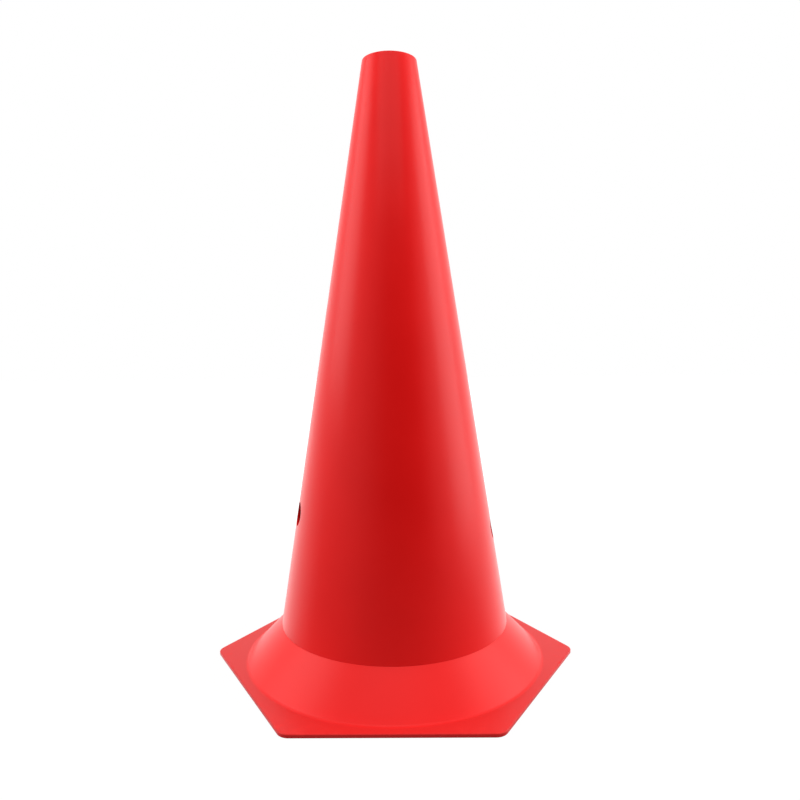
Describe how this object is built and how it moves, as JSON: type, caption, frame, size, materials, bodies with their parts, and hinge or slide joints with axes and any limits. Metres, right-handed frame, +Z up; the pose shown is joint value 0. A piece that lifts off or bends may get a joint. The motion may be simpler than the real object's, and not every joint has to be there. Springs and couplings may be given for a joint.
{
  "type": "sports marker cone",
  "caption": "Tall hollow training cone with an open mouth and staggered side holes for bars, plugged into a hexagonal base with a sloping skirt.",
  "frame": {"origin": "middle of the base's underside, on the surface the cone stands on", "axes": "+Z up along the cone, -Y towards the front edge of the hexagon, +X towards its right-hand corner"},
  "size_m": [0.3074, 0.269, 0.5],
  "materials": {
    "red_plastic": "satin moulded plastic"
  },
  "bodies": {
    "base": {"hex_base": "red_plastic"},
    "cone": {"cone_body": "red_plastic"}
  },
  "joints": [
    {"name": "cone_lift", "type": "slide", "parent": "base", "child": "cone", "axis": [0, 0, 1], "range_m": [0, 0.06]}
  ]
}
